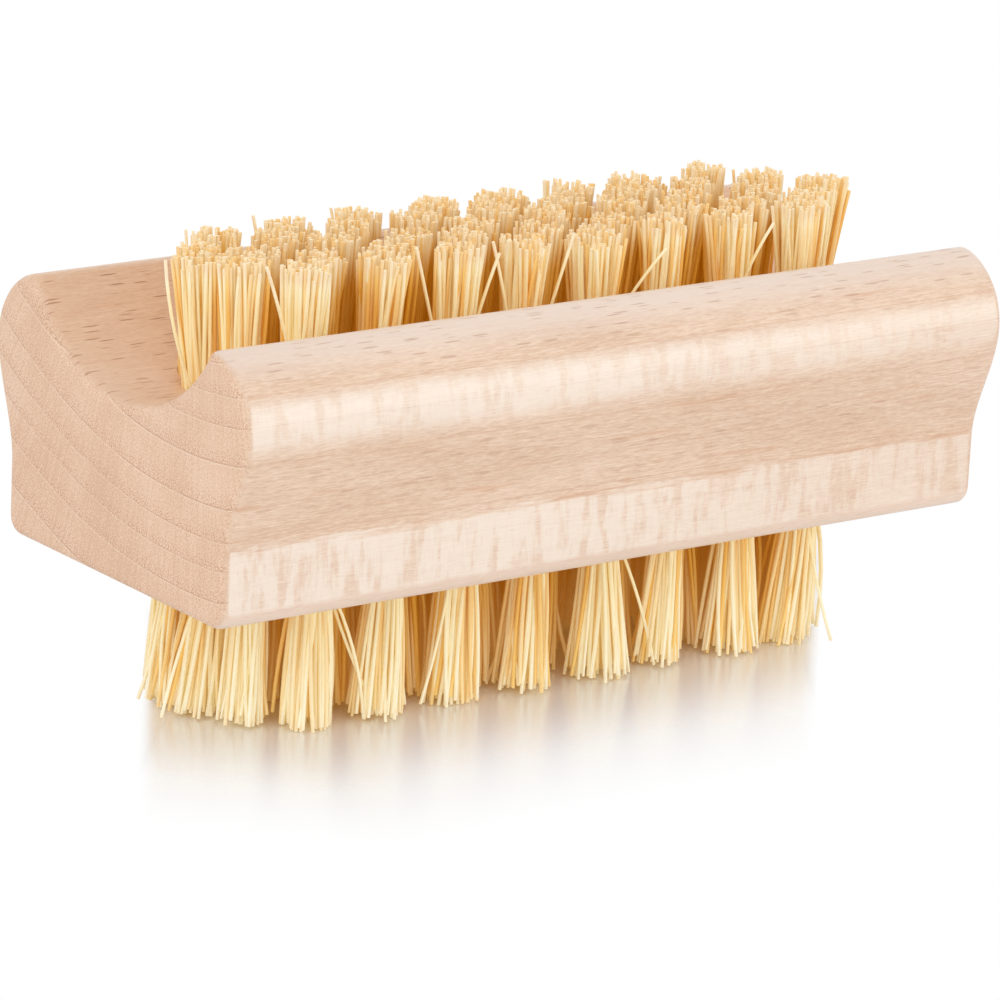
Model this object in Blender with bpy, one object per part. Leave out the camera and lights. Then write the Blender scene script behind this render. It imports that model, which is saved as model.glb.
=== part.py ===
"""Hand brush of beech, with short plant fibre tufts in its hollow top and long ones below.

X runs along the brush, Y across it and Z up. The origin is under the middle of the brush,
in the plane where the tips of its long tufts rest. Lengths are in metres.
"""

import math
import random

import bmesh
import bpy
from mathutils import Vector

# Wood block
LENGTH = 0.095
BLOCK_HEIGHT = 0.0274
BASE_WIDTH = 0.0388
BULGE_WIDTH = 0.045
SHOULDER_RADIUS = 0.0076
BAND_HEIGHT = 0.008
RIDGE_ANGLE = math.radians(4)
LOWER_EDGE_RADIUS = 0.002
END_EASING = 0.0008
HORN_WIDTH = 0.0068
CREST_LAND = 0.0009
HOLLOW_DEPTH = 0.0088

# Tufts, their strands and the holes that they sit in
CLEARANCE = 0.0003
HOLE_RADIUS = 0.0019
HOLE_DEPTH = 0.007
END_MARGIN = 0.0075
STRAND_ROOT = 0.0008
STRAND_TIP = 0.0011
ROOT_RIM = 0.0001

# Short tufts in the hollow; a flare share is how far the tips reach along and across the
# brush, as a share of the step from tuft to tuft and from row to row
TOP_ROWS = (8, 9, 10, 9, 8)
TOP_SIDE_MARGIN = 0.0078
TOP_REACH = 0.0046
TOP_UNEVENNESS = 0.0006
TOP_FLARE_SHARES = (0.31, 0.6)

# Long tufts under the base, each row of them on one strip of backing
BOTTOM_ROWS = (8, 9, 10, 10, 9, 8)
BOTTOM_SIDE_MARGIN = 0.00815
BOTTOM_LENGTH = 0.0143
BOTTOM_FLARE_SHARES = (0.37, 0.43)
BACKING_THICKNESS = 0.0012
BACKING_SHARE = 0.66

# Fineness of the curves, and how far a cutter runs past what it cuts
LOWER_EDGE_STEPS = 3
COVE_STEPS = 6
SHOULDER_STEPS = 6
HOLLOW_STEPS = 14
HOLE_SIDES = 8
SHARP_ANGLE = math.radians(35)
OVERRUN = 0.002

# Heights and places that follow from the sizes above
SHOULDER_CENTRE = BULGE_WIDTH / 2 - SHOULDER_RADIUS
MOUTH = BULGE_WIDTH / 2 - HORN_WIDTH
CREST_ANGLE = math.acos((MOUTH + CREST_LAND - SHOULDER_CENTRE) / SHOULDER_RADIUS)
CREST_HEIGHT = BOTTOM_LENGTH + BLOCK_HEIGHT
BULGE_HEIGHT = CREST_HEIGHT - SHOULDER_RADIUS * math.sin(CREST_ANGLE)
HOLLOW_RADIUS = (MOUTH**2 + HOLLOW_DEPTH**2) / (2 * HOLLOW_DEPTH)
HOLLOW_CENTRE = CREST_HEIGHT - HOLLOW_DEPTH + HOLLOW_RADIUS
TIP_HEIGHT = CREST_HEIGHT + TOP_REACH
TUFT_STEP = (LENGTH - 2 * END_MARGIN) / (max(TOP_ROWS + BOTTOM_ROWS) - 1)
TOP_ROW_STEP = 2 * (MOUTH - TOP_SIDE_MARGIN) / (len(TOP_ROWS) - 1)
BOTTOM_ROW_STEP = (BASE_WIDTH - 2 * BOTTOM_SIDE_MARGIN) / (len(BOTTOM_ROWS) - 1)

# The four ways in which a tuft's strands lean, along and across the brush, and the corners
# of a rectangle as shares of its length and width
LEANS = ((1, 0), (0, 1), (-1, 0), (0, -1))
CORNER_SHARES = ((-0.5, -0.5), (0.5, -0.5), (0.5, 0.5), (-0.5, 0.5))


def make_material(name, colour, roughness):
    """A plain finish; the colour is linear."""
    material = bpy.data.materials.new(name)
    material.use_nodes = True
    shader = material.node_tree.nodes["Principled BSDF"]
    shader.inputs["Base Color"].default_value = (*colour, 1)
    shader.inputs["Roughness"].default_value = roughness
    shader.inputs["Metallic"].default_value = 0
    return material


def make_object(name, bm, material, place=(0, 0, 0)):
    """Turns the finished bmesh into an object at its place, with its faces pointing out."""
    bmesh.ops.recalc_face_normals(bm, faces=bm.faces)
    mesh = bpy.data.meshes.new(name)
    bm.to_mesh(mesh)
    bm.free()
    if material:
        mesh.materials.append(material)
    obj = bpy.data.objects.new(name, mesh)
    obj.location = place
    bpy.context.scene.collection.objects.link(obj)
    return obj


def arc(centre, radius, start, end, steps):
    """Points (y, z) on an arc, both ends included."""
    points = []
    for step in range(steps + 1):
        angle = start + (end - start) * step / steps
        points.append((centre[0] + radius * math.cos(angle), centre[1] + radius * math.sin(angle)))
    return points


def cove_point(share):
    """Point of the side from the ridge, at share 0, up to the widest line, at share 1."""
    ridge_height = BOTTOM_LENGTH + BAND_HEIGHT
    rise = BULGE_HEIGHT - ridge_height
    swell = (BULGE_WIDTH - BASE_WIDTH) / 2
    s_curve = share**2 * (3 - 2 * share)
    kick = rise * math.tan(RIDGE_ANGLE) * share * (1 - share) ** 2
    return (BASE_WIDTH / 2 + swell * s_curve + kick, ridge_height + rise * share)


def block_outline():
    """Outline (y, z) of the block across its length: flat base, coved sides, hollow top."""
    edge_centre = (BASE_WIDTH / 2 - LOWER_EDGE_RADIUS, BOTTOM_LENGTH + LOWER_EDGE_RADIUS)
    side = arc(edge_centre, LOWER_EDGE_RADIUS, -math.pi / 2, 0, LOWER_EDGE_STEPS)
    side += [cove_point(step / COVE_STEPS) for step in range(COVE_STEPS)]
    side += arc((SHOULDER_CENTRE, BULGE_HEIGHT), SHOULDER_RADIUS, 0, CREST_ANGLE, SHOULDER_STEPS)
    opening = math.asin(MOUTH / HOLLOW_RADIUS)
    down = -math.pi / 2
    hollow = arc((0, HOLLOW_CENTRE), HOLLOW_RADIUS, down + opening, down - opening, HOLLOW_STEPS)
    return side + hollow + [(-y, z) for y, z in reversed(side)]


def floor_height(y):
    """Height of the hollow's floor at a distance y from its middle."""
    return HOLLOW_CENTRE - math.sqrt(HOLLOW_RADIUS**2 - y**2)


def row_places(count):
    """Places along the brush of one row's tufts, centred on its middle."""
    return [(number - (count - 1) / 2) * TUFT_STEP for number in range(count)]


def row_line(row, rows, step):
    """Distance of a row of tufts from the middle line; row 0 is on the near side."""
    return (row - (len(rows) - 1) / 2) * step


def hole_ring(radius):
    """Corners (x, y) of a hole or of the root that fills it, with flats along and across."""
    turn = math.tau / HOLE_SIDES
    angles = [turn * (corner + 1 / 2) for corner in range(HOLE_SIDES)]
    return [(radius * math.cos(angle), radius * math.sin(angle)) for angle in angles]


def rectangle(length, width):
    """Corners (x, y) of a rectangle centred on its object's origin."""
    return [(length * x, width * y) for x, y in CORNER_SHARES]


def add_ring(bm, corners, height, centre=(0, 0)):
    return [bm.verts.new((centre[0] + x, centre[1] + y, height)) for x, y in corners]


def add_walls(bm, lower, upper):
    """Joins two rings of the same number of corners by a face a side."""
    for here in range(len(lower)):
        after = (here + 1) % len(lower)
        bm.faces.new((lower[here], lower[after], upper[after], upper[here]))


def add_prism(bm, corners, bottom, top, centre=(0, 0)):
    """A closed prism, used to cut holes and grooves."""
    lower = add_ring(bm, corners, bottom, centre)
    upper = add_ring(bm, corners, top, centre)
    add_walls(bm, lower, upper)
    bm.faces.new(lower)
    bm.faces.new(upper)


def add_strands(bm, x, root_spreads, tip_reaches, tip_heights):
    """Four strands that lean apart from a tuft at x; returns the rings where they leave the backing."""
    root_rings = []
    for (along, across), tip_height in zip(LEANS, tip_heights):
        root = (x + along * root_spreads[0], across * root_spreads[1])
        tip_spreads = [reach - STRAND_TIP / 2 for reach in tip_reaches]
        tip = (x + along * tip_spreads[0], across * tip_spreads[1])
        root_ring = add_ring(bm, rectangle(STRAND_ROOT, STRAND_ROOT), 0, root)
        tip_ring = add_ring(bm, rectangle(STRAND_TIP, STRAND_TIP), tip_height, tip)
        add_walls(bm, root_ring, tip_ring)
        bm.faces.new(tip_ring)
        root_rings.append(root_ring)
    return root_rings


def add_backing(bm, corners, back_height, root_rings):
    """A slice of backing whose face, at height 0, is open only where its strands rise from it."""
    face_ring = add_ring(bm, corners, 0)
    back_ring = add_ring(bm, corners, back_height)
    add_walls(bm, back_ring, face_ring)
    bm.faces.new(back_ring)
    edges = []
    for ring in [face_ring, *root_rings]:
        edges += [bm.edges.get((ring[corner - 1], ring[corner])) for corner in range(len(ring))]
    bmesh.ops.triangle_fill(bm, use_beauty=True, edges=edges, normal=Vector((0, 0, 1)))


def root_spread(backing_width):
    """How far a strand's root stands off its tuft's middle on a backing of this width."""
    return backing_width / 2 - ROOT_RIM - STRAND_ROOT / 2


def hide_cutter(cutter):
    cutter.hide_render = True
    cutter.display_type = "WIRE"


def cut(obj, cutter):
    """Cuts the cutter out of the object and leaves it as a wire guide."""
    modifier = obj.modifiers.new(cutter.name, "BOOLEAN")
    modifier.operation = "DIFFERENCE"
    modifier.solver = "EXACT"
    modifier.object = cutter
    hide_cutter(cutter)


def backing_width():
    """Width of the strip that carries a bottom row."""
    return BOTTOM_ROW_STEP * BACKING_SHARE


def backing_length(count):
    """Length of the strip that carries a bottom row of so many tufts."""
    return (count - 1) * TUFT_STEP + 2 * (HOLE_RADIUS - CLEARANCE)


def make_block_blank():
    """The wood block before its holes and grooves are cut, with its end edges eased."""
    bm = bmesh.new()
    end = bm.faces.new([bm.verts.new((-LENGTH / 2, y, z)) for y, z in block_outline()])
    extruded = bmesh.ops.extrude_face_region(bm, geom=[end], use_keep_orig=True)["geom"]
    moved = [item for item in extruded if isinstance(item, bmesh.types.BMVert)]
    bmesh.ops.translate(bm, verts=moved, vec=(LENGTH, 0, 0))
    rims = [edge for edge in bm.edges if edge.verts[0].co.x == edge.verts[1].co.x]
    bmesh.ops.bevel(bm, geom=rims, offset=END_EASING, segments=1, affect="EDGES")
    block = make_object("wood_block", bm, make_material("beech", (0.76, 0.51, 0.34), 0.45))
    block.data.shade_smooth()
    block.data.set_sharp_from_angle(angle=SHARP_ANGLE)
    return block


def make_hole_cutters():
    """A blind hole for each short tuft, square to the base and as deep as the others."""
    bm = bmesh.new()
    for row, count in enumerate(TOP_ROWS):
        y = row_line(row, TOP_ROWS, TOP_ROW_STEP)
        floor = floor_height(y)
        for x in row_places(count):
            add_prism(bm, hole_ring(HOLE_RADIUS), floor - HOLE_DEPTH, floor + OVERRUN, (x, y))
    return make_object("tuft_holes", bm, None)


def make_groove_cutters():
    """A shallow groove in the flat base for the backing of each bottom row."""
    bm = bmesh.new()
    for row, count in enumerate(BOTTOM_ROWS):
        y = row_line(row, BOTTOM_ROWS, BOTTOM_ROW_STEP)
        corners = rectangle(backing_length(count) + 2 * CLEARANCE, backing_width() + 2 * CLEARANCE)
        top = BOTTOM_LENGTH + BACKING_THICKNESS + CLEARANCE
        add_prism(bm, corners, BOTTOM_LENGTH - OVERRUN, top, (0, y))
    return make_object("row_grooves", bm, None)


def make_top_tuft(name, place, material, draw):
    """A short tuft whose root fills its hole up to the hollow's floor."""
    bm = bmesh.new()
    root_radius = HOLE_RADIUS - CLEARANCE
    flat_to_flat = 2 * root_radius * math.cos(math.pi / HOLE_SIDES)
    spread = root_spread(flat_to_flat)
    reaches = (TUFT_STEP * TOP_FLARE_SHARES[0], TOP_ROW_STEP * TOP_FLARE_SHARES[1])
    full_height = TIP_HEIGHT - place[2]
    tip_heights = [full_height - draw.uniform(0, TOP_UNEVENNESS) for _ in LEANS]
    root_rings = add_strands(bm, 0, (spread, spread), reaches, tip_heights)
    add_backing(bm, hole_ring(root_radius), CLEARANCE - HOLE_DEPTH, root_rings)
    return make_object(name, bm, material, place)


def make_bottom_row(name, place, count, material):
    """A row of long tufts on its backing; every strand is cut off level where the brush stands."""
    bm = bmesh.new()
    flat_to_flat = 2 * (HOLE_RADIUS - CLEARANCE) * math.cos(math.pi / HOLE_SIDES)
    spreads = (root_spread(flat_to_flat), root_spread(backing_width()))
    reaches = (TUFT_STEP * BOTTOM_FLARE_SHARES[0], BOTTOM_ROW_STEP * BOTTOM_FLARE_SHARES[1])
    root_rings = []
    for x in row_places(count):
        root_rings += add_strands(bm, x, spreads, reaches, [-BOTTOM_LENGTH] * len(LEANS))
    add_backing(bm, rectangle(backing_length(count), backing_width()), BACKING_THICKNESS, root_rings)
    return make_object(name, bm, material, place)


def make_top_tufts():
    draw = random.Random(44)
    material = make_material("short_fibre", (0.93, 0.74, 0.42), 0.6)
    for row, count in enumerate(TOP_ROWS):
        y = row_line(row, TOP_ROWS, TOP_ROW_STEP)
        for number, x in enumerate(row_places(count)):
            name = f"top_tuft_{row + 1}_{number + 1:02d}"
            make_top_tuft(name, (x, y, floor_height(y)), material, draw)


def make_bottom_rows():
    material = make_material("long_fibre", (0.9, 0.7, 0.38), 0.6)
    for row, count in enumerate(BOTTOM_ROWS):
        y = row_line(row, BOTTOM_ROWS, BOTTOM_ROW_STEP)
        make_bottom_row(f"bottom_row_{row + 1}", (0, y, BOTTOM_LENGTH), count, material)


def main():
    for obj in list(bpy.data.objects):
        bpy.data.objects.remove(obj)
    block = make_block_blank()
    cut(block, make_hole_cutters())
    cut(block, make_groove_cutters())
    make_top_tufts()
    make_bottom_rows()


main()
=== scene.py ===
"""Looks of the hand brush: its beech block, its fibre tufts, a plain white set and the camera.

Lengths are in metres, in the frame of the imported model: X runs along the brush, Y across it
and Z up. The near side of the brush is at low Y.
"""

import math

import bmesh
import bpy
from mathutils import Matrix, Vector


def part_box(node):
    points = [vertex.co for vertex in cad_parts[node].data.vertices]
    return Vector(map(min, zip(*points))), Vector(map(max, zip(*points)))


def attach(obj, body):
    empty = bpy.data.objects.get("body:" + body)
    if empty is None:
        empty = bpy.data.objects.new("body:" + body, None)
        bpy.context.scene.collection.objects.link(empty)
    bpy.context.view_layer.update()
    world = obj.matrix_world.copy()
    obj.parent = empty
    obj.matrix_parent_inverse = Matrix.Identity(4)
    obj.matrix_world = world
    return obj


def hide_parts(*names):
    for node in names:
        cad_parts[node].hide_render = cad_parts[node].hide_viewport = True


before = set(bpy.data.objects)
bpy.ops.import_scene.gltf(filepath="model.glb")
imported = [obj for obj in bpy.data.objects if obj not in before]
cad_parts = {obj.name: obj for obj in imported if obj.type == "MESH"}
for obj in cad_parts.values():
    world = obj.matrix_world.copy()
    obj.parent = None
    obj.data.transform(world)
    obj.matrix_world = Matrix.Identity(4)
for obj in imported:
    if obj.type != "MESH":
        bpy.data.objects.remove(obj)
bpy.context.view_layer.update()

# Wood block
BLOCK_LOW, BLOCK_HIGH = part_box("wood_block")
BASE_HEIGHT = BLOCK_LOW.z
CREST_HEIGHT = BLOCK_HIGH.z
LENGTH = BLOCK_HIGH.x - BLOCK_LOW.x
BULGE_WIDTH = BLOCK_HIGH.y - BLOCK_LOW.y
BASE_WIDTH = 0.0388
SHOULDER_RADIUS = 0.0076
BAND_HEIGHT = 0.008
RIDGE_ANGLE = math.radians(4)
LOWER_EDGE_RADIUS = 0.002
HORN_WIDTH = 0.0068
CREST_LAND = 0.0009
HOLLOW_DEPTH = 0.0088
CREST_EASING = 0.0005
END_ROUNDING = 0.0011

# How the block's outline is drawn: the most of the crest's land that an easing may take, the step
# that gives the cove's slope, and the angle from which an edge stays sharp
EASING_SHARE = 0.45
SLOPE_STEP = 0.01
SHARP_ANGLE = math.radians(35)

# Fineness of the block's curves
LOWER_EDGE_STEPS = 6
COVE_STEPS = 22
SHOULDER_STEPS = 22
HOLLOW_STEPS = 40
EASING_STEPS = 4
ROUNDING_STEPS = 5
LENGTH_STEPS = 40
HOLE_SIDES = 20

# Holes for the tufts
HOLE_RADIUS = 0.0019
HOLE_DEPTH = 0.003
OVERRUN = 0.002

# Tufts: how many fibres stand in one, how thick and how deeply rooted they are, how far they
# thin towards the tip, and how far the short ones rise above the tips of the CAD
BOTTOM_ROWS = (8, 9, 10, 10, 9, 8)
FIBRES = 80
FIBRE_THICKNESS = 0.0005
FIBRE_POINTS = 6
FIBRE_SIDES = 5
ROOT_SINK = 0.0015
ROOT_WIDTH = 1.08
TAPER = 0.28
SHORT_RISE = 0.0005

# How the fibres of a tuft scatter: the turn from one to the next, the lean of the tuft and of its
# clumps, and the ranges of the shares that a fibre takes of its tuft's sizes
GOLDEN_ANGLE = math.pi * (3 - math.sqrt(5))
TUFT_LEAN = 0.0005
CLUMP_LEAN = 0.0024
CLUMP_SCALE = 700
CLUMP_DRIFT = 0.37
TIP_TURN = 0.5
TIP_POWER = 0.85
STRAY_BEND = 1.5
LEAN_POWER = 5
TIP_SPREADS = (0.8, 1.1)
TUFT_SPREADS = (0.88, 1.12)
STRAY_REACHES = (0.1, 0.55)
THICKNESSES = (0.78, 1.12)

# End tufts: how far they move along their rows, by the row's count, and how they lean
SHORT_END_SHIFTS = {10: (0.0026, -0.0003)}
LONG_END_SHIFTS = {8: (0, -0.0004), 9: (0, -0.0011), 10: (0.0032, -0.0025)}
SHORT_LEANS = {3: 0.0042}
LONG_LEFT_LEANS = {3: 0.0068, 4: 0.0068}
LONG_RIGHT_LEANS = {1: -0.01, 2: -0.0064, 3: -0.005, 4: -0.005, 5: -0.005, 6: -0.005}

# Seeds of the rows' random numbers
SHORT_SEED = 100
LONG_SEED = 300
ROW_SEED = 20

# Looks of the fibres: where the end tufts begin, as the sum of the distances along and across,
# how much of the painted shade between the tufts reaches the tips, how strongly the fibres glow
# with painted light, and over what lengths the painted shade of the rows and ends, the painted
# light on the end tufts and the tone of the tips come and go
SHORT_END = 0.0395
LONG_END = 0.0423
SHORT_SHADE = 0.1
LONG_SHADE = 0.6
SHORT_GLOW = 0.11
LONG_GLOW = 0.12
ROW_EDGES = (0.0012, -0.0023)
END_EDGE = 0.006
OUTER_EDGES = (-0.001, 0.002)
TIP_DEPTHS = (0.002, 0.0005)
MOTTLES_ACROSS = 2600
MOTTLES_ALONG = 260

# Loose strands beside the bundles: for each its row and, in millimetres, its root, its tip and how
# far its middle bows along X; their thickness is in metres
STRAND_THICKNESS = 0.00034
STRAND_STEPS = 8
STRAND_TONE = 0.7
SHORT_STRANDS = (
    (1, (-31.9, -8.4, 33.5), (-37.0, -9.8, 47.4), 0.3),
    (1, (-14.4, -8.6, 33.5), (-18.8, -9.3, 47.2), 0.0),
    (1, (-12.2, -9.0, 33.5), (-8.6, -9.4, 45.6), -0.3),
    (1, (-5.6, -8.8, 33.5), (-9.4, -9.3, 46.8), 0.2),
    (1, (-3.3, -8.8, 33.5), (0.6, -9.5, 46.7), 0.0),
    (1, (5.2, -9.0, 33.5), (12.0, -10.2, 44.0), -0.9),
    (1, (21.4, -9.0, 33.5), (25.9, -10.2, 45.2), -0.8),
    (3, (-38.9, -1.2, 32.0), (-43.3, -1.6, 46.9), -0.7),
    (5, (-23.0, 8.2, 34.0), (-26.0, 8.8, 47.2), 0.0),
)
LONG_STRANDS = (
    (1, (-30.0, -12.2, 15.2), (-25.2, -12.6, 0.4), 0.9),
    (1, (-29.8, -11.6, 15.2), (-23.2, -12.2, 0.2), -0.4),
    (1, (-14.6, -12.0, 15.2), (-18.0, -12.3, 0.6), 0.4),
    (1, (5.8, -12.0, 15.2), (11.5, -12.6, 0.3), 0.5),
    (1, (30.9, -12.2, 15.2), (33.2, -15.0, 0.3), -0.5),
    (3, (-38.0, -3.2, 15.2), (-43.5, -3.8, 0.7), -0.4),
)

# Camera, and the ends of the lowest tips as it sees them; lens and sensor are in millimetres
LENS = 215.7
SENSOR_WIDTH = 36
CAMERA_PLACE = (-0.35757, -0.47188, 0.19028)
CAMERA_YAW = math.radians(37.16)
CAMERA_PITCH = math.radians(16.38)
CAMERA_ROLL = math.radians(2.82)
LEFT_TIPS = (-0.0437, -0.003)
RIGHT_TIPS = (0.04, -0.003)

# Floor: where its mirror image begins to fade, from the brush's middle line and across its
# corners, how far it reaches, how strong and how soft it is, where the sheet turns pure white,
# and how soft the sides of the mirror image are
SHEET_SIZE = 4
FADE_START = 0.012
CORNER_START = 0.045
CORNER_SHARE = 0.75
MIRROR_REACH = 0.034
MIRROR_STRENGTH = 0.41
MIRROR_ROUGHNESS = 0.24
WHITE_START = 0.001
WHITE_REACH = 0.02
SIDE_EDGES = (-0.0006, 0.0016)

# World: how bright it lights; where it is seen, its brightness is 1
WORLD_LIGHT = 0.88

# Millimetres in a metre
MILLIMETRES = 1000

# Growth rings, in millimetres: their centre across the brush and up, the first one's radius, their
# step and how unevenly it runs, the radius at which places round the heart are measured, and the
# share of a step at which the dark line of the late wood lies
RING_CENTRE = (-13, 90.3)
RING_START = 52.8
RING_SPACING = 3.557
RING_UNEVENNESS = 0.17
RING_UNEVENNESS_RATE = 0.383
RING_RADIUS = 65
LATE_LINE = 0.95

# Marks in the wood, in millimetres: where the rays even out and where the wood turns pale, out
# from the heart; where the rays grow faint, along; how wide the near side's edge is, where the
# painted light of the near side gives way to the painted shade of the far side; the plain foot of
# the cove, its break and its edges; and the painted shade line on the crease above the ridge
EVEN_RINGS = (66, 60)
PALE_RINGS = (73.8, 75.2)
FAINT_PLACES = (-10, 45)
NEAR_EDGES = (3, -3)
FOOT_HEIGHT = 3
FOOT_BREAK = 4
FOOT_EDGES = (3.4, 2.4)
CREASE_SHADE_HEIGHT = 0.3
CREASE_SHADE_WIDTH = 0.4

# Heights and places that follow from the sizes above
SHOULDER_CENTRE = BULGE_WIDTH / 2 - SHOULDER_RADIUS
MOUTH = BULGE_WIDTH / 2 - HORN_WIDTH
CREST_ANGLE = math.acos((MOUTH + CREST_LAND - SHOULDER_CENTRE) / SHOULDER_RADIUS)
BULGE_HEIGHT = CREST_HEIGHT - SHOULDER_RADIUS * math.sin(CREST_ANGLE)
HOLLOW_RADIUS = (MOUTH**2 + HOLLOW_DEPTH**2) / (2 * HOLLOW_DEPTH)
HOLLOW_CENTRE = CREST_HEIGHT - HOLLOW_DEPTH + HOLLOW_RADIUS
TIP_HEIGHT = max(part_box(name)[1].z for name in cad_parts)

# Named inputs of the tree that makes the tufts
TUFT_INPUTS = {
    "Fibres": "NodeSocketInt",
    "Seed": "NodeSocketInt",
    "Root radius": "NodeSocketFloat",
    "Root sink": "NodeSocketFloat",
    "Spread": "NodeSocketFloat",
    "Tip height": "NodeSocketFloat",
    "Unevenness": "NodeSocketFloat",
    "Thickness": "NodeSocketFloat",
    "Bend": "NodeSocketFloat",
    "Stray share": "NodeSocketFloat",
    "Step": "NodeSocketFloat",
    "Left lean": "NodeSocketFloat",
    "Right lean": "NodeSocketFloat",
}

# Sizes of the tufts, by the names of the inputs that take them
SHARED_SIZES = {
    "Fibres": FIBRES,
    "Root radius": HOLE_RADIUS - FIBRE_THICKNESS / 2,
    "Root sink": ROOT_SINK,
    "Thickness": FIBRE_THICKNESS,
}
SHORT_SIZES = {
    **SHARED_SIZES,
    "Spread": 0.0026,
    "Tip height": TIP_HEIGHT + SHORT_RISE,
    "Unevenness": 0.0014,
    "Bend": 0.0002,
    "Stray share": 0.02,
    "Step": 0.0006,
}
LONG_SIZES = {
    **SHARED_SIZES,
    "Spread": 0.003,
    "Tip height": 0.0,
    "Unevenness": 0.0011,
    "Bend": 0.00035,
    "Stray share": 0.06,
    "Step": 0.0003,
}


class Value:
    """A number in a node tree; a sum written on it adds its Math nodes."""

    def __init__(self, tree, socket):
        self.tree = tree
        self.socket = socket

    def __add__(self, other):
        return self.tree.maths("ADD", self, other)

    def __radd__(self, other):
        return self.tree.maths("ADD", other, self)

    def __sub__(self, other):
        return self.tree.maths("SUBTRACT", self, other)

    def __rsub__(self, other):
        return self.tree.maths("SUBTRACT", other, self)

    def __mul__(self, other):
        return self.tree.maths("MULTIPLY", self, other)

    def __rmul__(self, other):
        return self.tree.maths("MULTIPLY", other, self)

    def __truediv__(self, other):
        return self.tree.maths("DIVIDE", self, other)

    def __pow__(self, other):
        return self.tree.maths("POWER", self, other)

    def __gt__(self, other):
        return self.tree.maths("GREATER_THAN", self, other)

    def __lt__(self, other):
        return self.tree.maths("LESS_THAN", self, other)

    def __mod__(self, other):
        return self.tree.maths("FLOORED_MODULO", self, other)

    def __abs__(self):
        return self.tree.maths("ABSOLUTE", self)

    def other(self, name):
        """Another output of the node that this value comes from."""
        return Value(self.tree, find_socket(self.socket.node.outputs, name))


def find_socket(sockets, key):
    """A socket by its number, its identifier or its name."""
    if isinstance(key, int):
        return sockets[key]
    for socket in sockets:
        if socket.identifier == key and socket.enabled:
            return socket
    return next(socket for socket in sockets if socket.name == key and socket.enabled)


class Tree:
    """A node tree that is written as calls and sums."""

    def __init__(self, node_tree):
        self.nodes = node_tree.nodes
        self.links = node_tree.links

    def add(self, kind, settings=None, inputs=None, out=0):
        """Adds a node, sets it up, fills its sockets and returns one of its outputs."""
        node = self.nodes.new(kind)
        for name, setting in (settings or {}).items():
            setattr(node, name, setting)
        for key, given in (inputs or {}).items():
            self.fill(find_socket(node.inputs, key), given)
        return Value(self, find_socket(node.outputs, out)) if node.outputs else None

    def fill(self, socket, given):
        if isinstance(given, Value):
            self.links.new(given.socket, socket)
        else:
            socket.default_value = given

    def maths(self, operation, *terms):
        settings = {"operation": operation}
        return self.add("ShaderNodeMath", settings, dict(enumerate(terms)))

    def vector(self, x, y, z):
        return self.add("ShaderNodeCombineXYZ", inputs={"X": x, "Y": y, "Z": z})

    def split(self, vector):
        """The three numbers of a vector."""
        x = self.add("ShaderNodeSeparateXYZ", inputs={"Vector": vector}, out="X")
        return x, x.other("Y"), x.other("Z")

    def ease(self, value, low, high):
        """0 below low and 1 above high, with a soft rise between; low may be the larger."""
        inputs = {"Value": value, "From Min": low, "From Max": high}
        return self.add("ShaderNodeMapRange", {"interpolation_type": "SMOOTHSTEP"}, inputs)

    def blend(self, share, first, second):
        """Two colours, mixed by a share of the second."""
        inputs = {"Factor_Float": share, "A_Color": first, "B_Color": second}
        return self.add("ShaderNodeMix", {"data_type": "RGBA"}, inputs, "Result_Color")

    def noise(self, place, detail, roughness):
        """A soft random pattern from 0 to 1."""
        inputs = {"Vector": place, "Scale": 1, "Detail": detail, "Roughness": roughness}
        return self.add("ShaderNodeTexNoise", None, inputs, "Fac")


def start_material(name):
    """A new material; returns it with its tree and the sockets of its shader."""
    material = bpy.data.materials.new(name)
    material.use_nodes = True
    shader = material.node_tree.nodes["Principled BSDF"]
    return material, Tree(material.node_tree), shader.inputs


def colour(red, green, blue):
    """A colour given as it shows on a screen, from 0 to 255, made linear."""
    shares = [channel / 255 for channel in (red, green, blue)]
    return (*[((s + 0.055) / 1.055) ** 2.4 if s > 0.04 else s / 12.92 for s in shares], 1)


class Grain:
    """A point's place in the log, in mm, how the surface faces there, and the wood's patterns."""

    def __init__(self, tree):
        x, y, z = tree.split(tree.add("ShaderNodeTexCoord", out="Object"))
        facing = tree.split(tree.add("ShaderNodeTexCoord", out="Normal"))
        across = y * MILLIMETRES - RING_CENTRE[0]
        down = RING_CENTRE[1] - z * MILLIMETRES
        self.tree = tree
        self.along = x * MILLIMETRES
        self.out = (across * across + down * down) ** 0.5
        self.around = tree.maths("ARCTAN2", across, down) * RING_RADIUS
        self.above_ridge = (z - BASE_HEIGHT - BAND_HEIGHT) * MILLIMETRES
        self.end_face = abs(facing[0])
        self.ray_face = abs((facing[1] * down + facing[2] * across) / self.out)
        self.ring_face = abs((facing[1] * across - facing[2] * down) / self.out)
        self.streak = self.pattern(0.1, 1.6, 1.6, 3, 0.6)
        self.fleck = self.pattern(1.1, 4.5, 4.5, 2, 0.6)
        self.pore = self.pattern(0.8, 6, 6, 1, 0.6)
        self.grit = self.pattern(1, 9, 9, 1, 0.7)
        self.cloud = self.pattern(0.03, 0.12, 0.1, 2, 0.5)
        self.ring = self.ring_share()
        self.ring_line = abs(self.ring - LATE_LINE)

    def pattern(self, along, around, out, detail, roughness):
        """A soft random pattern, by its waves to the millimetre along, around and out."""
        place = self.tree.vector(self.along * along, self.around * around, self.out * out)
        return self.tree.noise(place, detail, roughness)

    def ring_share(self):
        """How far a point lies from the inner face of its growth ring, at 0, to the outer, at 1."""
        drift = self.pattern(0.01, 0.03, 0.03, 1, 0.5)
        depth = self.out - RING_START
        ring = depth / RING_SPACING + (drift - 0.5) * 0.4
        swing = self.tree.maths("SINE", depth * RING_UNEVENNESS_RATE) * RING_UNEVENNESS
        return (ring + swing) % 1


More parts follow.
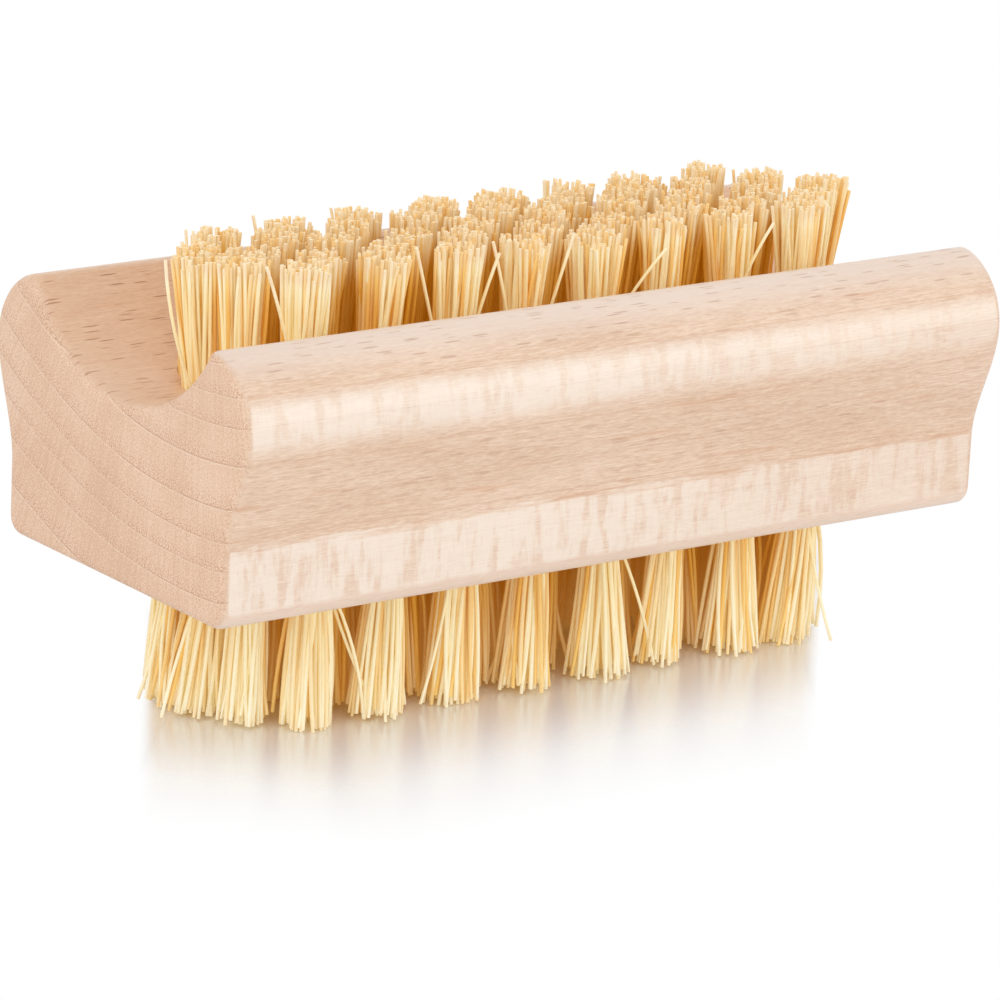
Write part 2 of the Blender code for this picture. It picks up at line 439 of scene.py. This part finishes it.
def side_grain(tree, grain):
    """Colour of the wood's sides: fine hairs and grit, warm veins and the lines of the rings."""
    hair = grain.pattern(0.45, 9, 9, 2, 0.6)
    vein = grain.pattern(0.07, 1.1, 1.1, 3, 0.6)
    tone = (grain.streak - 0.5) * 0.5 + (grain.fleck - 0.5) * 0.7 + (grain.cloud - 0.5) * 0.7
    tone = tone + (hair - 0.5) * 1.2 + (grain.grit - 0.5) * 0.7 + 0.5
    side = tree.blend(tree.ease(tone, 0, 1), colour(219, 182, 152), colour(245, 218, 194))
    side = tree.blend(tree.ease(vein, 0.6, 0.72) * 0.4, side, colour(218, 164, 124))
    line = tree.ease(grain.ring_line, 0.04, 0.0) * tree.ease(grain.cloud, 0.35, 0.55)
    return tree.blend(line * (1 - grain.ring_face) * 0.5, side, colour(204, 156, 122))


def end_grain(tree, grain):
    """Colour of the sawn ends: rings with a dark rim and a pale seam, rays and open pores."""
    ray_line = grain.pattern(0.25, 2.6, 0.12, 2, 0.7)
    late = tree.ease(grain.ring, 0.45, 0.95) * tree.ease(grain.ring, 1.0, 0.96)
    seam = tree.ease(abs(grain.ring - 0.985), 0.03, 0.0)
    specks = tree.ease(grain.pore, 0.52, 0.34) * (0.3 + late * 1.1)
    rim = tree.ease(grain.ring_line, 0.03, 0.0) * tree.ease(grain.cloud, 0.35, 0.6)
    tone = (grain.pore + grain.grit - 1) * 1.5 + (ray_line - 0.5) * 0.8
    tone = tone + (grain.cloud - 0.5) * 0.8 + 0.5
    end = tree.blend(tree.ease(tone, 0, 1), colour(222, 182, 150), colour(244, 212, 186))
    end = tree.blend(specks * 0.6, end, colour(196, 142, 108))
    end = tree.blend(rim * 0.6, end, colour(192, 144, 112))
    return tree.blend(seam * 0.5, end, colour(250, 226, 204))


def ray_flecks(tree, grain):
    """How much of the pale rays shows: in bars on the upright faces, fainter to the right."""
    bars = grain.pattern(0.65, 0.6, 0.17, 3, 0.6)
    threads = grain.pattern(0.3, 1.5, 6, 1, 0.5)
    posts = grain.pattern(6, 0.6, 0.6, 1, 0.5)
    foot = grain.above_ridge - FOOT_HEIGHT + (grain.streak - 0.5) * FOOT_BREAK
    cove_foot = tree.ease(abs(foot), *FOOT_EDGES)
    shown = tree.ease(grain.ray_face, 0.92, 0.99) * (1 - cove_foot)
    flecks = tree.ease(bars - (1 - shown) * 0.1, 0.34, 0.54) * shown
    flecks = flecks * tree.ease(threads * 0.7 + posts, -0.25, 1.1)
    evened = 0.4 + tree.ease(grain.out, *EVEN_RINGS) * 0.22
    flecks = flecks + (shown * 0.74 - flecks) * evened
    return flecks * (0.88 - tree.ease(grain.along, *FAINT_PLACES) * 0.27)


def pore_dashes(tree, grain):
    """Short dark dashes of cut pores, on the faces that follow the rings."""
    place = tree.vector(grain.along * 0.24, grain.around * 3.2, grain.out * 0.5)
    dash = tree.add("ShaderNodeTexVoronoi", {"feature": "F1"}, {"Vector": place, "Scale": 1})
    kept = tree.split(dash.other("Color"))[0] > 0.48
    return tree.ease(dash, 0.3, 0.18) * kept * tree.ease(grain.ring_face, 0.1, 0.8)


def beech_material():
    """Oiled beech cut from a log: growth rings, rays, pores and streaks run through the block."""
    material, tree, shader = start_material("beech_wood")
    grain = Grain(tree)
    near_side = tree.ease(grain.around, *NEAR_EDGES)
    upward = tree.ease(grain.ring_face, 0.45, 0.9)
    pale_edge = tree.ease(grain.out, *PALE_RINGS)
    dashes = pore_dashes(tree, grain) * (1 - pale_edge * 0.8)
    # Painted shade: a dark line along the crease just above the ridge, broken up by the streaks
    crease_shade = tree.ease(abs(grain.above_ridge - CREASE_SHADE_HEIGHT), CREASE_SHADE_WIDTH, 0.0)
    crease_shade = crease_shade * tree.ease(grain.streak, 0.5, 0.6)

    side = tree.blend(ray_flecks(tree, grain), side_grain(tree, grain), colour(253, 240, 226))
    side = tree.blend(crease_shade * 0.5, side, colour(212, 160, 124))
    # Painted light: the near side's faces that follow the rings, such as the horn's top, are paler
    side = tree.blend(upward * near_side * 0.65, side, colour(240, 222, 209))
    side = tree.blend(pale_edge * 0.6, side, colour(246, 226, 210))
    # Painted shade: the far side's faces that follow the rings, such as the hollow's far wall, turn
    # darker and more orange
    side = tree.blend(grain.ring_face * (1 - near_side) * 0.4, side, colour(226, 178, 140))
    side = tree.blend(dashes * (0.75 - near_side * 0.3), side, colour(170, 110, 74))

    end_share = tree.ease(grain.end_face, 0.3, 0.9)
    tree.fill(shader["Base Color"], tree.blend(end_share, side, end_grain(tree, grain)))
    tree.fill(shader["Roughness"], 0.34 + (grain.fleck - 0.5) * 0.3 + end_share * 0.2)
    height = (grain.pore * 0.6 + grain.fleck * 0.4) * (0.35 + end_share * 0.65) - dashes * 0.3
    bump = {"Strength": 0.3, "Distance": 0.0002, "Height": height}
    tree.fill(shader["Normal"], tree.add("ShaderNodeBump", None, bump))
    return material


def fibre_material(name, root_height, tip_height, outer_row, end, shade, strength):
    """Plant fibre, cream to golden by fibre; painted amber shade between tufts; painted light."""
    material, tree, shader = start_material(name)
    x, y, z = tree.split(tree.add("ShaderNodeTexCoord", out="Object"))
    streaks = tree.vector(x * MOTTLES_ACROSS, y * MOTTLES_ACROSS, z * MOTTLES_ALONG)
    mottle = tree.noise(streaks, 2, 0.6)
    depth = tree.ease(z, tip_height, root_height)
    corner = abs(x) + abs(y)
    # Painted shade: the inner rows, away from the end tufts, turn amber, most strongly near the
    # roots
    inner = tree.ease(abs(y), outer_row + ROW_EDGES[0], outer_row + ROW_EDGES[1])
    inner = inner * tree.ease(corner, end, end - END_EDGE)
    inner = inner * (shade + depth * (1 - shade))
    # Painted light: the end tufts' fibres turn paler, by as much as the painted shade reaches the
    # tips
    outer = tree.ease(corner, end + OUTER_EDGES[0], end + OUTER_EDGES[1])
    tips = tree.ease(abs(z - tip_height), *TIP_DEPTHS)
    own_tone = tree.add("ShaderNodeAttribute", {"attribute_name": "tone"}, out="Fac")
    tone = tree.ease(own_tone, 0.0, 0.65)
    tone = tone + (1 - tone) * outer * shade

    pale = tree.blend(tone, colour(251, 212, 128), colour(255, 250, 224))
    golden = tree.blend(tone, colour(243, 184, 76), colour(255, 241, 188))
    # Golden towards the roots: partly the fibres' own colour, partly painted shade near the wood
    base = tree.blend(depth * 0.85, pale, golden)
    base = tree.blend(tree.ease(mottle, 0.5, 0.8) * 0.35, base, colour(252, 212, 134))
    # Painted shade: amber on the inner rows
    base = tree.blend(inner * 0.88, base, colour(230, 172, 56))
    base = tree.blend(tips * (1 - shade) * 0.5, base, colour(238, 208, 172))
    tree.fill(shader["Base Color"], base)
    tree.fill(shader["Roughness"], 0.4 + mottle * 0.2)
    shader["Specular IOR Level"].default_value = 0.35

    # Painted light: an emission glow stands in for the light that passes through and bounces among
    # the fibres; it turns a deeper amber near the roots and in the painted shade between the tufts
    glow = tree.blend(depth, colour(254, 214, 120), colour(206, 132, 16))
    glow = tree.blend(tone * 0.5, glow, colour(255, 234, 176))
    glow = tree.blend(inner, glow, colour(196, 138, 0))
    tree.fill(shader["Emission Color"], glow)
    shader["Emission Strength"].default_value = strength
    return material


def arc(centre, radius, start, end, steps):
    """Points (y, z) on an arc, both ends included."""
    points = []
    for step in range(steps + 1):
        angle = start + (end - start) * step / steps
        points.append(Vector((math.cos(angle), math.sin(angle))) * radius + Vector(centre))
    return points


def cove_point(share):
    """Point of the side from the ridge, at share 0, up to the widest line, at share 1."""
    ridge_height = BASE_HEIGHT + BAND_HEIGHT
    rise = BULGE_HEIGHT - ridge_height
    swell = (BULGE_WIDTH - BASE_WIDTH) / 2
    s_curve = share**2 * (3 - 2 * share)
    kick = rise * math.tan(RIDGE_ANGLE) * share * (1 - share) ** 2
    return Vector((BASE_WIDTH / 2 + swell * s_curve + kick, ridge_height + rise * share))


def inset_cove(inset):
    """The cove's points, moved into the wood, square to the curve."""
    points = []
    for step in range(COVE_STEPS):
        share = step / COVE_STEPS
        run = cove_point(min(share + SLOPE_STEP, 1)) - cove_point(max(share - SLOPE_STEP, 0))
        outward = Vector((run.y, -run.x)).normalized()
        points.append(cove_point(share) - outward * inset)
    return points


def eased_corner(before, corner, after, reach):
    """Points of a soft curve that rounds a corner off."""
    start = corner + (before - corner).normalized() * reach
    end = corner + (after - corner).normalized() * reach
    points = []
    for step in range(EASING_STEPS + 1):
        share = step / EASING_STEPS
        points.append(start * (1 - share) ** 2 + corner * 2 * share * (1 - share) + end * share**2)
    return points


def block_side(inset):
    """The near half of the outline, from the base's edge up to the middle of the hollow."""
    edge_centre = (BASE_WIDTH / 2 - LOWER_EDGE_RADIUS, BASE_HEIGHT + LOWER_EDGE_RADIUS)
    side = arc(edge_centre, LOWER_EDGE_RADIUS - inset, -math.pi / 2, 0, LOWER_EDGE_STEPS)
    side += inset_cove(inset)
    crest = CREST_HEIGHT - inset
    shoulder = SHOULDER_RADIUS - inset
    land_angle = math.asin((crest - BULGE_HEIGHT) / shoulder)
    side += arc((SHOULDER_CENTRE, BULGE_HEIGHT), shoulder, 0, land_angle, SHOULDER_STEPS)
    hollow = HOLLOW_RADIUS + inset
    opening = math.acos((HOLLOW_CENTRE - crest) / hollow)
    down = -math.pi / 2
    slope = arc((0, HOLLOW_CENTRE), hollow, down + opening, down, HOLLOW_STEPS)
    land = (side[-1] - slope[0]).length
    reach = min(CREST_EASING, land * EASING_SHARE)
    outer = eased_corner(side[-2], side[-1], slope[0], reach)
    inner = eased_corner(side[-1], slope[0], slope[1], reach)
    return side[:-1] + outer + inner + slope[1:]


def block_section(x, inset):
    """The whole outline at a place along the brush, drawn in by its inset."""
    side = block_side(inset)
    outline = side + [Vector((-point.x, point.y)) for point in reversed(side[:-1])]
    return [Vector((x, y, z)) for y, z in outline]


def block_sections():
    """Outlines along the block: rounded in at the left end, straight, rounded in at the right."""
    sections = []
    for step in range(ROUNDING_STEPS + 1):
        angle = math.pi / 2 * step / ROUNDING_STEPS
        inset = END_ROUNDING * (1 - math.sin(angle))
        x = -LENGTH / 2 + END_ROUNDING * (1 - math.cos(angle))
        sections.append((x, inset))
    straight = LENGTH - 2 * END_ROUNDING
    left = sections[-1][0]
    middle = [(left + straight * step / LENGTH_STEPS, 0) for step in range(1, LENGTH_STEPS)]
    return sections + middle + [(-x, inset) for x, inset in reversed(sections)]


def make_mesh_object(name, bm, material=None):
    """Puts a finished bmesh into the scene as a named object."""
    mesh = bpy.data.meshes.new(name)
    bm.to_mesh(mesh)
    bm.free()
    if material:
        mesh.materials.append(material)
    obj = bpy.data.objects.new(name, mesh)
    bpy.context.scene.collection.objects.link(obj)
    return obj


def settle(obj):
    """Turns an object with modifiers into a plain mesh object."""
    bpy.context.view_layer.update()
    evaluated = obj.evaluated_get(bpy.context.evaluated_depsgraph_get())
    mesh = bpy.data.meshes.new_from_object(evaluated)
    mesh.name = obj.name
    obj.modifiers.clear()
    obj.data = mesh
    return obj


def make_block_blank(material):
    """The block before it is drilled: its outlines along the brush, joined and closed."""
    bm = bmesh.new()
    rings = []
    for x, inset in block_sections():
        rings.append([bm.verts.new(point) for point in block_section(x, inset)])
    for ring, following in zip(rings, rings[1:]):
        for here in range(len(ring)):
            after = (here + 1) % len(ring)
            bm.faces.new((ring[here], ring[after], following[after], following[here]))
    bm.faces.new(rings[0])
    bm.faces.new(rings[-1])
    bmesh.ops.recalc_face_normals(bm, faces=bm.faces)
    return make_mesh_object("beech_block", bm, material)


def add_drill(bm, place, bottom, top):
    """The round body that cuts one hole."""
    depth = top - bottom
    centre = Matrix.Translation((place.x, place.y, (bottom + top) / 2))
    size = {"radius1": HOLE_RADIUS, "radius2": HOLE_RADIUS, "depth": depth}
    bmesh.ops.create_cone(bm, cap_ends=True, segments=HOLE_SIDES, matrix=centre, **size)


def make_drills():
    """One round body for each tuft's hole, from above in the hollow and from below in the base."""
    bm = bmesh.new()
    for place in [place for row in top_places() for place in row]:
        add_drill(bm, place, place.z - HOLE_DEPTH, place.z + OVERRUN)
    for place in [place for row in bottom_places() for place in row]:
        add_drill(bm, place, place.z - OVERRUN, place.z + HOLE_DEPTH)
    return make_mesh_object("drills", bm)


def make_block():
    """The wood block with its holes, in place of the CAD block."""
    block = make_block_blank(beech_material())
    drills = make_drills()
    holes = block.modifiers.new("holes", "BOOLEAN")
    holes.solver = "EXACT"
    holes.object = drills
    settle(block)
    bpy.data.objects.remove(drills)
    block.data.shade_smooth()
    block.data.set_sharp_from_angle(angle=SHARP_ANGLE)
    dress(block, ["wood_block"])


def floor_height(y):
    """Height of the hollow's floor at a distance y from its middle."""
    return HOLLOW_CENTRE - math.sqrt(HOLLOW_RADIUS**2 - y**2)


def top_row_nodes(row):
    """Names of the CAD's short tufts in a row, from the left."""
    return sorted(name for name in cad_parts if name.startswith(f"top_tuft_{row}_"))


def middle(node):
    """Centre of a CAD node's box."""
    low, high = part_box(node)
    return (low + high) / 2


def draw_ends_in(line, shifts):
    """Moves the two end tufts of a row, by the shifts for a row of so many tufts."""
    left, right = shifts.get(len(line), (0, 0))
    return [line[0] + left, *line[1:-1], line[-1] + right]


def top_places():
    """Where the short tufts leave the hollow's floor, row by row from the near side."""
    rows = []
    for row in range(1, 6):
        spots = [middle(node) for node in top_row_nodes(row)]
        line = draw_ends_in([spot.x for spot in spots], SHORT_END_SHIFTS)
        rows.append([Vector((x, spots[0].y, floor_height(spots[0].y))) for x in line])
    return rows


def bottom_places():
    """Where the long tufts leave the base, row by row from the near side."""
    first, second = [middle(node).x for node in top_row_nodes(3)[:2]]
    step = second - first
    rows = []
    for row, count in enumerate(BOTTOM_ROWS):
        y = middle(f"bottom_row_{row + 1}").y
        line = [(number - (count - 1) / 2) * step for number in range(count)]
        line = draw_ends_in(line, LONG_END_SHIFTS)
        rows.append([Vector((x, y, BASE_HEIGHT)) for x in line])
    return rows


class TuftTree(Tree):
    """A Geometry Nodes tree that takes the points of a row and the sizes of its tufts."""

    def __init__(self, name):
        self.group = bpy.data.node_groups.new(name, "GeometryNodeTree")
        faces = self.group.interface
        faces.new_socket("Geometry", in_out="INPUT", socket_type="NodeSocketGeometry")
        for size, kind in TUFT_INPUTS.items():
            faces.new_socket(size, in_out="INPUT", socket_type=kind)
        faces.new_socket("Geometry", in_out="OUTPUT", socket_type="NodeSocketGeometry")
        super().__init__(self.group)
        self.given = self.add("NodeGroupInput", out="Geometry")
        self.size = {size: self.given.other(size) for size in TUFT_INPUTS}

    def keep(self, geometry, name, value, kind="FLOAT"):
        """Stores a value on each point under a name."""
        settings = {"data_type": kind, "domain": "POINT"}
        inputs = {"Geometry": geometry, "Name": name, "Value": value}
        return self.add("GeometryNodeStoreNamedAttribute", settings, inputs)

    def read(self, name, kind="FLOAT"):
        """The value that each point holds under a name."""
        settings = {"data_type": kind}
        return self.add("GeometryNodeInputNamedAttribute", settings, {"Name": name}, "Attribute")

    def chance(self, low, high, salt, each=None):
        """A random number for each fibre or, where each is given, for each tuft."""
        inputs = {"Min": low, "Max": high, "Seed": self.size["Seed"] + salt}
        if each is not None:
            inputs["ID"] = each
        return self.add("FunctionNodeRandomValue", {"data_type": "FLOAT"}, inputs, "Value")


def fibre_points(tree):
    """A point for each fibre, which holds its root, tip, bend, tone and thickness."""
    size = tree.size
    points = tree.keep(tree.given, "tuft", tree.add("GeometryNodeInputIndex"))
    copies = {"Geometry": points, "Amount": size["Fibres"]}
    points = tree.add("GeometryNodeDuplicateElements", {"domain": "POINT"}, copies)
    number = points.other("Duplicate Index")
    tuft = tree.read("tuft")
    share = ((number + 0.5) / size["Fibres"]) ** 0.5
    angle = number * GOLDEN_ANGLE + tree.chance(0, math.tau, 1, tuft)
    stray = tree.chance(0, 1, 2) < size["Stray share"]

    x, y, z = tree.split(tree.add("GeometryNodeInputPosition"))
    rises = tree.maths("SIGN", size["Tip height"] - z)
    root_share = share * size["Root radius"]
    root_x = x + tree.maths("COSINE", angle) * root_share
    root_y = y + tree.maths("SINE", angle) * root_share
    root = tree.vector(root_x, root_y, z - rises * size["Root sink"])

    clump_place = tree.vector(root_x, root_y, size["Seed"] * CLUMP_DRIFT)
    clump_inputs = {"Vector": clump_place, "Scale": CLUMP_SCALE, "Detail": 1}
    clump = tree.split(tree.add("ShaderNodeTexNoise", None, clump_inputs, "Color"))
    tip_angle = angle + tree.chance(-TIP_TURN, TIP_TURN, 3)
    tip_share = share ** TIP_POWER * tree.chance(*TIP_SPREADS, 4)
    tip_share = tip_share * (1 + stray * tree.chance(*STRAY_REACHES, 5))
    tip_share = tip_share * tree.chance(*TUFT_SPREADS, 14, tuft) * size["Spread"]
    end = (x / (LENGTH / 2)) ** LEAN_POWER
    end_lean = tree.maths("MINIMUM", end, 0) * size["Left lean"]
    end_lean = end_lean + tree.maths("MAXIMUM", end, 0) * size["Right lean"]
    lean_x = tree.chance(-TUFT_LEAN, TUFT_LEAN, 6, tuft) + (clump[0] - 0.5) * CLUMP_LEAN + end_lean
    lean_y = tree.chance(-TUFT_LEAN, TUFT_LEAN, 7, tuft) + (clump[1] - 0.5) * CLUMP_LEAN
    tip_x = x + tree.maths("COSINE", tip_angle) * tip_share + lean_x
    tip_y = y + tree.maths("SINE", tip_angle) * tip_share + lean_y
    short = tree.chance(0, 1, 8) ** 2 * size["Unevenness"]
    short = short + tree.chance(0, 1, 13, tuft) * size["Step"]
    tip = tree.vector(tip_x, tip_y, size["Tip height"] - rises * short)

    reach = size["Bend"] * (1 + stray * STRAY_BEND)
    bend = tree.vector(tree.chance(-1, 1, 9) * reach, tree.chance(-1, 1, 10) * reach, 0)
    points = tree.keep(points, "root", root, "FLOAT_VECTOR")
    points = tree.keep(points, "tip", tip, "FLOAT_VECTOR")
    points = tree.keep(points, "bend", bend, "FLOAT_VECTOR")
    points = tree.keep(points, "tone", tree.chance(0, 1, 11))
    return tree.keep(points, "thick", tree.chance(*THICKNESSES, 12) * size["Thickness"] / 2)


def fibre_lines(tree, points):
    """A bowed line from root to tip for each point."""
    line = tree.add("GeometryNodeCurvePrimitiveLine", None, {"End": (0, 0, 1)})
    line = tree.add("GeometryNodeResampleCurve", None, {"Curve": line, "Count": FIBRE_POINTS})
    copies = {"Points": points, "Instance": line}
    curves = tree.add("GeometryNodeInstanceOnPoints", None, copies)
    curves = tree.add("GeometryNodeRealizeInstances", None, {"Geometry": curves})
    reach = tree.add("GeometryNodeSplineParameter", out="Factor")
    root, tip = tree.read("root", "FLOAT_VECTOR"), tree.read("tip", "FLOAT_VECTOR")
    ends = {"Factor_Float": reach, "A_Vector": root, "B_Vector": tip}
    chord = tree.add("ShaderNodeMix", {"data_type": "VECTOR"}, ends, "Result_Vector")
    bow = {"Vector": tree.read("bend", "FLOAT_VECTOR"), "Scale": reach * (1 - reach) * 4}
    bow = tree.add("ShaderNodeVectorMath", {"operation": "SCALE"}, bow)
    place = tree.add("ShaderNodeVectorMath", {"operation": "ADD"}, {0: chord, 1: bow})
    return tree.add("GeometryNodeSetPosition", None, {"Geometry": curves, "Position": place})


def tuft_tree(material):
    """Fibres that rise from each point in a round bundle and spread to their uneven tips."""
    tree = TuftTree("fibre_tufts")
    curves = fibre_lines(tree, fibre_points(tree))
    reach = tree.add("GeometryNodeSplineParameter", out="Factor")
    radius = tree.read("thick") * (ROOT_WIDTH - reach * TAPER)
    profile = {"Resolution": FIBRE_SIDES, "Radius": 1.0}
    profile = tree.add("GeometryNodeCurvePrimitiveCircle", None, profile)
    solid = {"Curve": curves, "Profile Curve": profile, "Scale": radius, "Fill Caps": True}
    solid = tree.add("GeometryNodeCurveToMesh", None, solid)
    solid = tree.add("GeometryNodeSetShadeSmooth", None, {"Geometry": solid})
    solid = tree.add("GeometryNodeRealizeInstances", None, {"Geometry": solid})
    solid = tree.add("GeometryNodeSetMaterial", None, {"Geometry": solid, "Material": material})
    tree.add("NodeGroupOutput", None, {"Geometry": solid})
    return tree.group


def make_tufts(name, places, group, sizes):
    """One row of tufts from the points where they leave the wood."""
    bm = bmesh.new()
    for place in places:
        bm.verts.new(place)
    row = make_mesh_object(name, bm)
    modifier = row.modifiers.new("tufts", "NODES")
    modifier.node_group = group
    for item in group.interface.items_tree:
        if item.name in sizes:
            modifier[item.identifier] = sizes[item.name]
    return settle(row)


def strand_mesh(strands):
    """Single bowed fibres as one mesh."""
    curve = bpy.data.curves.new("strands", "CURVE")
    curve.dimensions = "3D"
    curve.bevel_depth = STRAND_THICKNESS / 2
    curve.bevel_resolution = 1
    curve.use_fill_caps = True
    for _, root, tip, bow in strands:
        line = curve.splines.new("POLY")
        line.points.add(STRAND_STEPS)
        for step, point in enumerate(line.points):
            share = step / STRAND_STEPS
            place = Vector(root).lerp(Vector(tip), share)
            place.x += bow * 4 * share * (1 - share)
            point.co = (*(place / MILLIMETRES), 1)
    holder = bpy.data.objects.new("strands", curve)
    mesh = bpy.data.meshes.new_from_object(holder)
    bpy.data.objects.remove(holder)
    tones = mesh.attributes.new("tone", "FLOAT", "POINT")
    for item in tones.data:
        item.value = STRAND_TONE
    return mesh


def add_strands(tufts, row, strands):
    """Joins the loose strands of a row to its tufts."""
    chosen = [strand for strand in strands if strand[0] == row]
    if not chosen:
        return
    bm = bmesh.new()
    bm.from_mesh(tufts.data)
    bm.from_mesh(strand_mesh(chosen))
    bm.to_mesh(tufts.data)
    bm.free()
    tufts.data.shade_smooth()


def make_short_tufts():
    """Five rows of short tufts in the hollow, in place of the CAD tufts."""
    outer_row = -middle(top_row_nodes(1)[0]).y
    heights = (CREST_HEIGHT - CREST_EASING, TIP_HEIGHT)
    looks = (outer_row, SHORT_END, SHORT_SHADE, SHORT_GLOW)
    group = tuft_tree(fibre_material("short_fibre", *heights, *looks))
    for row, places in enumerate(top_places(), start=1):
        lean = SHORT_LEANS.get(row, 0.0)
        own = {"Seed": SHORT_SEED + row * ROW_SEED, "Left lean": lean, "Right lean": lean}
        tufts = make_tufts(f"short_tufts_{row}", places, group, SHORT_SIZES | own)
        add_strands(tufts, row, SHORT_STRANDS)
        dress(tufts, top_row_nodes(row))


def make_long_tufts():
    """Six rows of long tufts under the base, in place of the CAD rows."""
    outer_row = -middle("bottom_row_1").y
    looks = (outer_row, LONG_END, LONG_SHADE, LONG_GLOW)
    group = tuft_tree(fibre_material("long_fibre", BASE_HEIGHT, 0.0, *looks))
    for row, places in enumerate(bottom_places(), start=1):
        leans = {"Left lean": LONG_LEFT_LEANS.get(row, 0.0), "Right lean": LONG_RIGHT_LEANS[row]}
        own = {"Seed": LONG_SEED + row * ROW_SEED, **leans}
        tufts = make_tufts(f"long_tufts_{row}", places, group, LONG_SIZES | own)
        add_strands(tufts, row, LONG_STRANDS)
        dress(tufts, [f"bottom_row_{row}"])


def dress(piece, nodes):
    """Fixes a finished piece to the brush in place of its CAD nodes."""
    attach(piece, "root")
    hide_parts(*nodes)


def beyond_line(x, y, end):
    """How far left of the line from the camera through an end of the tufts a place lies."""
    run = Vector(end) - Vector(CAMERA_PLACE[:2])
    run.normalize()
    return (y - end[1]) * run.x - (x - end[0]) * run.y


def floor_material():
    """White glossy sheet; its mirror image dies away a little way out from the brush."""
    material, tree, shader = start_material("white_sheet")
    x, y, _ = tree.split(tree.add("ShaderNodeTexCoord", out="Object"))
    corner = (abs(x) + abs(y) - CORNER_START) * CORNER_SHARE
    distance = tree.maths("MAXIMUM", abs(y) - FADE_START, corner)
    beyond_left = beyond_line(x, y, LEFT_TIPS)
    beyond_right = beyond_line(x, y, RIGHT_TIPS) * -1
    clear = tree.ease(tree.maths("MAXIMUM", beyond_left, beyond_right), *SIDE_EDGES)
    near = tree.ease(distance, MIRROR_REACH, 0.0) * (1 - clear)
    far = tree.maths("MAXIMUM", tree.ease(distance, WHITE_START, WHITE_REACH), clear)

    shader["Base Color"].default_value = (0.9, 0.9, 0.91, 1)
    shader["Roughness"].default_value = 1
    shader["Specular IOR Level"].default_value = 0
    matt = Value(tree, tree.nodes["Principled BSDF"].outputs[0])
    seen = tree.add("ShaderNodeLightPath", out="Is Camera Ray")
    white = tree.add("ShaderNodeEmission", None, {"Color": (1, 1, 1, 1), "Strength": 1.0})
    sheet = tree.add("ShaderNodeMixShader", None, {0: seen * far, 1: matt, 2: white})
    mirror = {"Color": (0.92, 0.95, 1, 1), "Roughness": MIRROR_ROUGHNESS}
    gloss = tree.add("ShaderNodeBsdfGlossy", None, mirror)
    mixed = {0: near * MIRROR_STRENGTH, 1: sheet, 2: gloss}
    mixed = tree.add("ShaderNodeMixShader", None, mixed)
    tree.links.new(mixed.socket, tree.nodes["Material Output"].inputs["Surface"])
    return material


def make_floor():
    """The sheet that the brush stands on."""
    bm = bmesh.new()
    bmesh.ops.create_grid(bm, x_segments=1, y_segments=1, size=SHEET_SIZE)
    floor = make_mesh_object("floor", bm, floor_material())


def make_world():
    """White all round: at full strength where it is seen, softer where it lights."""
    world = bpy.data.worlds.new("white_room")
    bpy.context.scene.world = world
    world.use_nodes = True
    tree = Tree(world.node_tree)
    direct = tree.add("ShaderNodeLightPath", out="Is Camera Ray")
    seen = tree.maths("MAXIMUM", direct, direct.other("Is Glossy Ray"))
    seen = tree.maths("MAXIMUM", seen, direct.other("Is Transmission Ray"))
    background = tree.nodes["Background"].inputs
    background["Color"].default_value = (1, 1, 1, 1)
    tree.fill(background["Strength"], seen * (1 - WORLD_LIGHT) + WORLD_LIGHT)


def add_lamp(name, place, aim, size, power):
    """A flat rectangular lamp that faces the point it is aimed at."""
    data = bpy.data.lights.new(name, "AREA")
    data.shape = "RECTANGLE"
    data.size, data.size_y = size
    data.energy = power
    lamp = bpy.data.objects.new(name, data)
    lamp.location = place
    lamp.rotation_euler = (Vector(aim) - Vector(place)).to_track_quat("-Z", "Y").to_euler()
    bpy.context.scene.collection.objects.link(lamp)


def make_lamps():
    """A long low strip that lights the near side, and a soft square lamp for the left end."""
    strip = {"place": (0.58, -0.8, 0.2), "aim": (0, 0, 0.03), "size": (1.0, 0.14), "power": 1.5}
    softbox = {"place": (-0.85, -0.3, 0.45), "aim": (0, 0, 0.02), "size": (0.5, 0.5), "power": 1.2}
    add_lamp("front_strip", **strip)
    add_lamp("left_softbox", **softbox)


def make_camera():
    """The camera of the photograph: above the left end of the near side, slightly rolled."""
    data = bpy.data.cameras.new("camera")
    data.lens = LENS
    data.sensor_width = SENSOR_WIDTH
    camera = bpy.data.objects.new("camera", data)
    swing = Matrix.Rotation(-CAMERA_YAW, 4, "Z")
    tilt = Matrix.Rotation(math.pi / 2 - CAMERA_PITCH, 4, "X")
    roll = Matrix.Rotation(CAMERA_ROLL, 4, "Z")
    camera.matrix_world = Matrix.Translation(CAMERA_PLACE) @ swing @ tilt @ roll
    bpy.context.scene.collection.objects.link(camera)
    bpy.context.scene.camera = camera


def write_sizes():
    """Brings the view layer up to date."""
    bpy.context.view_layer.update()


make_block()
make_short_tufts()
make_long_tufts()
make_floor()
make_world()
make_lamps()
make_camera()
bpy.context.scene.view_settings.view_transform = "Standard"
write_sizes()
